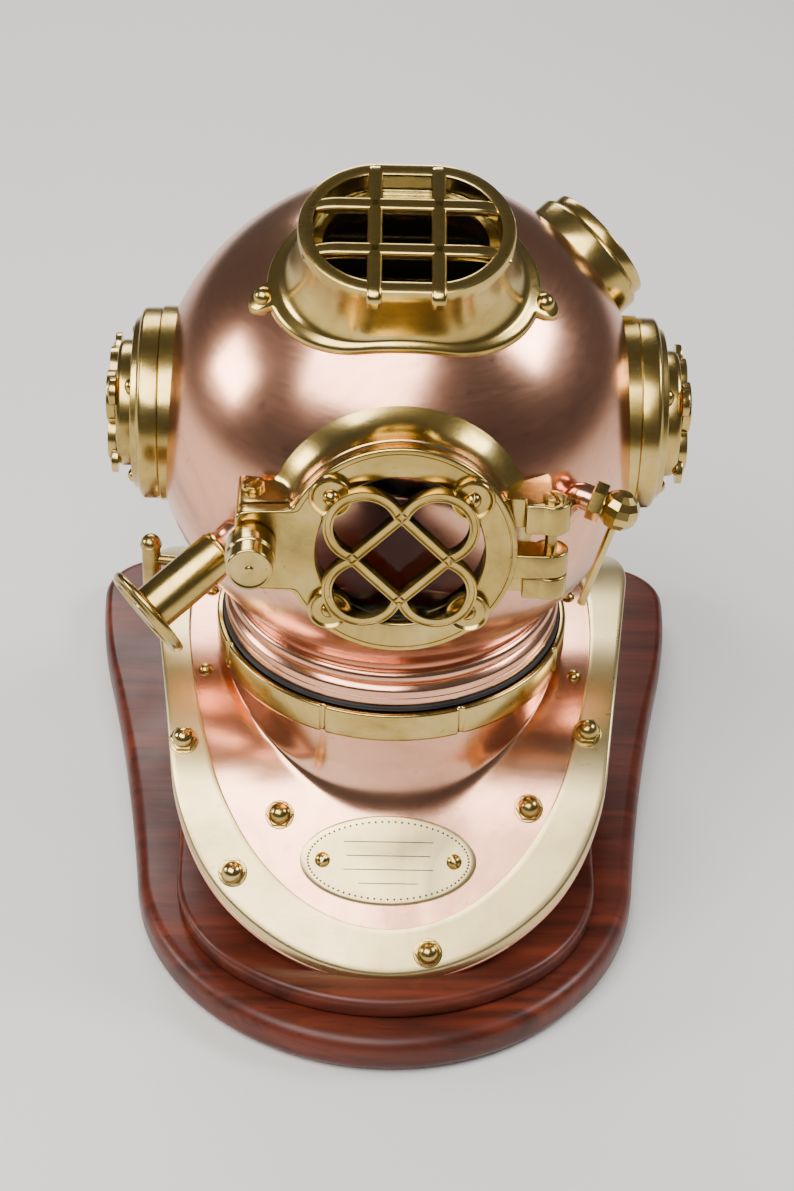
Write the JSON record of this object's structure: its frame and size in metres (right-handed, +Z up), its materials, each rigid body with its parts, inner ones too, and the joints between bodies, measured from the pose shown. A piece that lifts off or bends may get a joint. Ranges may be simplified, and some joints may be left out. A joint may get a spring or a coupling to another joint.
{
  "type": "diving helmet replica",
  "caption": "Decorative copper and brass diving helmet with glazed windows, a hinged front door and a turn-lock bonnet, on a two-tier wood base.",
  "frame": {"origin": "on the underside of the wood base, straight below the centre of the round bonnet", "axes": "+Z up, -Y towards the front window, +X to the right as seen from the front"},
  "size_m": [0.224, 0.2861, 0.2823],
  "materials": {
    "wood": "semi-gloss varnish",
    "copper": "polished, lightly tarnished",
    "brass": "satin, lightly tarnished",
    "rubber": "matt",
    "glass": "clear"
  },
  "bodies": {
    "root": {"base_board": "wood", "plinth_board": "wood", "breastplate": "copper", "brail_band": "brass", "band_cap_bolts": "brass", "plate_cap_bolts": "brass", "collar_screws": "brass", "nameplate": "brass", "nameplate_screws": "brass", "collar": "brass", "neck_gasket": "rubber"},
    "door": {"faceplate": "brass", "faceplate_glass": "glass", "faceplate_retainer": "brass", "faceplate_guard": "brass", "faceplate_guard_screws": "brass"},
    "clamp_turner": {"clamp_washer": "brass"},
    "clamp_screw": {"clamp_knob": "brass", "clamp_stud": "brass"},
    "cock": {"spit_cock_ball": "brass", "spit_cock_lever": "brass"},
    "regulator": {"regulator_wheel": "brass"},
    "bonnet": {"bonnet_neck_ring": "copper", "bonnet_shell": "copper", "clamp_pin": "brass", "exhaust_cap": "brass", "exhaust_screw": "brass", "exhaust_seat": "brass", "faceplate_seal": "rubber", "front_ring": "brass", "hinge_pin": "brass", "inlet_cap": "brass", "inlet_pipe": "brass", "inlet_post": "brass", "left_window_bezel": "brass", "left_window_flange": "brass", "left_window_glass": "glass", "left_window_guard": "brass", "left_window_guard_screws": "brass", "left_window_screws": "brass", "left_window_seal": "rubber", "left_window_seat": "brass", "regulator_barrel": "brass", "regulator_socket": "copper", "right_window_bezel": "brass", "right_window_flange": "brass", "right_window_glass": "glass", "right_window_guard": "brass", "right_window_guard_screws": "brass", "right_window_screws": "brass", "right_window_seal": "rubber", "right_window_seat": "brass", "spit_cock_nut": "brass", "spit_cock_pipe": "copper", "top_light_frame": "brass", "top_light_glass": "glass", "top_light_grille": "brass", "top_light_screws": "brass"}
  },
  "joints": [
    {"name": "bonnet_turn", "type": "hinge", "parent": "root", "child": "bonnet", "pos_m": [0, 0, 0.1014], "axis": [0, 0, 1], "range_deg": [0, 45]},
    {"name": "door_hinge", "type": "hinge", "parent": "bonnet", "child": "door", "pos_m": [0.0455, -0.0797, 0.18537], "axis": [0, 0.0872, 0.9962], "range_deg": [0, 110]},
    {"name": "clamp_turn", "type": "hinge", "parent": "door", "child": "clamp_turner", "pos_m": [-0.0446, -0.08546, 0.18839], "axis": [0, -0.9962, 0.0872], "range_deg": [0, 720]},
    {"name": "clamp_travel", "type": "slide", "parent": "clamp_turner", "child": "clamp_screw", "axis": [0, -0.9962, 0.0872], "range_m": [0, 0.004]},
    {"name": "spit_cock_turn", "type": "hinge", "parent": "bonnet", "child": "cock", "pos_m": [0.0675, -0.06569, 0.18882], "axis": [0.9285, -0.2995, -0.2196], "range_deg": [-40, 35]},
    {"name": "regulator_turn", "type": "hinge", "parent": "bonnet", "child": "regulator", "pos_m": [-0.07589, -0.07683, 0.15611], "axis": [-0.7409, -0.494, -0.455], "range_deg": [0, 270]}
  ],
  "couplings": [
    {"joint": "clamp_turn", "follows": "clamp_travel", "rad_per_m": 3141.5}
  ]
}
